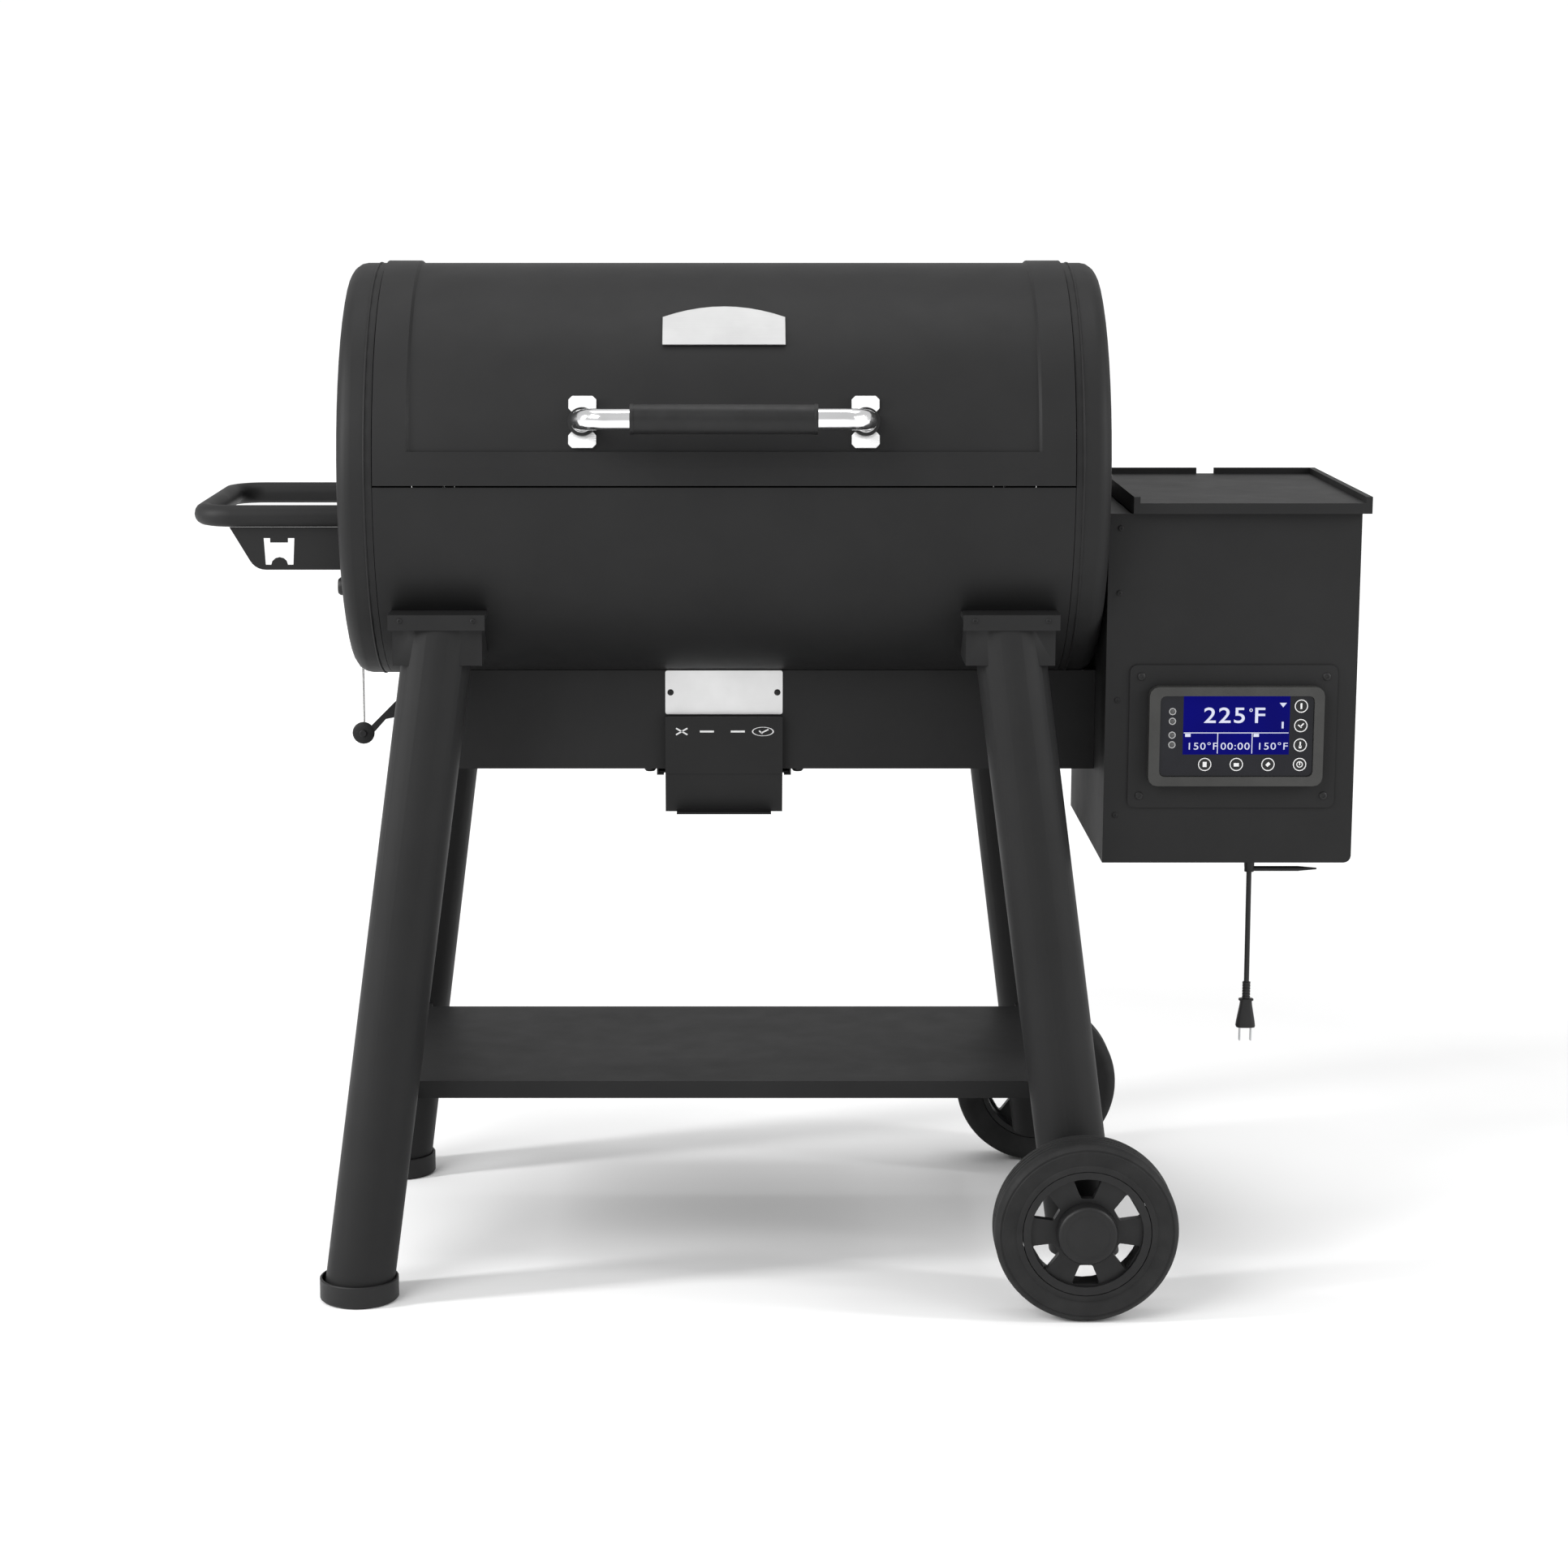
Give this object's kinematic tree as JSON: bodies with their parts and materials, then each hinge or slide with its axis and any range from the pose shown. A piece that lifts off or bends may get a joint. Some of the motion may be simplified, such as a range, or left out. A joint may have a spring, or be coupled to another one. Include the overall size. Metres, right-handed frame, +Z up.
{
  "type": "pellet smoker grill",
  "caption": "Barrel-shaped pellet smoker grill with hinged lid, side pellet hopper with digital control, ash drawer, splayed legs, lower shelf and rolling wheels.",
  "frame": {"origin": "middle of the outline's footprint, on the ground plane", "axes": "+Z up, the front of the grill faces -Y, the hopper is at +X"},
  "size_m": [1.306, 0.676, 1.1492],
  "materials": {
    "black_enamel": "fine-textured black powder coat",
    "black_plastic": "moulded black",
    "grey_plastic": "moulded dark grey",
    "tyre_rubber": "moulded rubber",
    "chrome": "polished",
    "stainless": "brushed",
    "aluminium": "rolled sheet",
    "cast_iron": "seasoned",
    "zinc_steel": "zinc plated",
    "display_glass": "smoked lens over a blue display"
  },
  "bodies": {
    "cart_and_barrel": {"barrel_shell": "black_enamel", "left_end_cap": "black_enamel", "right_end_cap": "black_enamel", "lid_hinge": "black_enamel", "front_left_leg": "black_enamel", "rear_left_leg": "black_enamel", "front_right_leg": "black_enamel", "rear_right_leg": "black_enamel", "front_foot_cap": "black_plastic", "rear_foot_cap": "black_plastic", "bottom_shelf": "black_enamel", "wheel_axle": "zinc_steel", "firebox_housing": "black_enamel", "front_shield_plate": "aluminium", "fire_pot": "zinc_steel", "igniter_rod": "stainless", "auger_tube": "zinc_steel", "auger_motor": "zinc_steel", "fan_housing": "black_plastic", "heat_diffuser": "zinc_steel", "drip_tray": "zinc_steel", "left_cooking_grate": "cast_iron", "right_cooking_grate": "cast_iron", "warming_rack": "stainless", "temperature_probe": "stainless", "side_handle": "black_enamel", "opener_bracket": "black_enamel", "bucket_hook": "stainless", "hook_arm": "black_enamel", "hopper_body": "black_enamel", "hopper_bin": "zinc_steel", "control_plate": "black_enamel", "controller_housing": "grey_plastic", "display_window": "display_glass", "cord_gland": "black_plastic", "power_cord": "black_plastic", "power_plug": "black_plastic"},
    "lid": {"barrel_lid": "black_enamel", "lid_badge": "stainless", "handle_plate_left": "chrome", "handle_plate_right": "chrome", "handle_tube": "chrome", "handle_grip": "black_plastic"},
    "hopper_lid": {"hopper_lid": "black_enamel"},
    "front_wheel": {"front_wheel": "black_plastic", "front_tyre": "tyre_rubber", "front_hub_cap": "black_plastic"},
    "rear_wheel": {"rear_wheel": "black_plastic", "rear_tyre": "tyre_rubber", "rear_hub_cap": "black_plastic"},
    "ash_drawer": {"ash_drawer": "black_enamel"},
    "auger": {"auger_screw": "zinc_steel"},
    "fan": {"fan_impeller": "black_plastic"},
    "key_probe": {"key_probe": "black_plastic"},
    "key_menu": {"key_menu": "black_plastic"},
    "key_temperature": {"key_temperature": "black_plastic"},
    "key_mode": {"key_mode": "black_plastic"},
    "key_timer": {"key_timer": "black_plastic"},
    "key_light": {"key_light": "black_plastic"},
    "key_power": {"key_power": "black_plastic"}
  },
  "joints": [
    {"name": "lid_hinge", "type": "hinge", "parent": "cart_and_barrel", "child": "lid", "pos_m": [-0.059, 0.246, 0.9125], "axis": [-1, 0, 0], "range_deg": [0, 85]},
    {"name": "hopper_lid_hinge", "type": "hinge", "parent": "cart_and_barrel", "child": "hopper_lid", "pos_m": [0.522, 0.1785, 0.8835], "axis": [-1, 0, 0], "range_deg": [0, 95]},
    {"name": "front_wheel_spin", "type": "hinge", "parent": "cart_and_barrel", "child": "front_wheel", "pos_m": [0.34, -0.305, 0.1015], "axis": [0, 1, 0], "continuous": true},
    {"name": "rear_wheel_spin", "type": "hinge", "parent": "cart_and_barrel", "child": "rear_wheel", "pos_m": [0.34, 0.305, 0.1015], "axis": [0, 1, 0], "continuous": true},
    {"name": "ash_drawer_slide", "type": "slide", "parent": "cart_and_barrel", "child": "ash_drawer", "axis": [0, -1, 0], "range_m": [0, 0.12]},
    {"name": "auger_spin", "type": "hinge", "parent": "cart_and_barrel", "child": "auger", "pos_m": [0.241, 0, 0.632], "axis": [1, 0, 0], "continuous": true},
    {"name": "fan_spin", "type": "hinge", "parent": "cart_and_barrel", "child": "fan", "pos_m": [0.441, 0, 0.545], "axis": [0, 1, 0], "continuous": true},
    {"name": "key_probe_press", "type": "slide", "parent": "cart_and_barrel", "child": "key_probe", "axis": [0, 1, 0], "range_m": [0, 0.0008], "stiffness_N_per_m": 300},
    {"name": "key_menu_press", "type": "slide", "parent": "cart_and_barrel", "child": "key_menu", "axis": [0, 1, 0], "range_m": [0, 0.0008], "stiffness_N_per_m": 300},
    {"name": "key_temperature_press", "type": "slide", "parent": "cart_and_barrel", "child": "key_temperature", "axis": [0, 1, 0], "range_m": [0, 0.0008], "stiffness_N_per_m": 300},
    {"name": "key_mode_press", "type": "slide", "parent": "cart_and_barrel", "child": "key_mode", "axis": [0, 1, 0], "range_m": [0, 0.0008], "stiffness_N_per_m": 300},
    {"name": "key_timer_press", "type": "slide", "parent": "cart_and_barrel", "child": "key_timer", "axis": [0, 1, 0], "range_m": [0, 0.0008], "stiffness_N_per_m": 300},
    {"name": "key_light_press", "type": "slide", "parent": "cart_and_barrel", "child": "key_light", "axis": [0, 1, 0], "range_m": [0, 0.0008], "stiffness_N_per_m": 300},
    {"name": "key_power_press", "type": "slide", "parent": "cart_and_barrel", "child": "key_power", "axis": [0, 1, 0], "range_m": [0, 0.0008], "stiffness_N_per_m": 300}
  ]
}
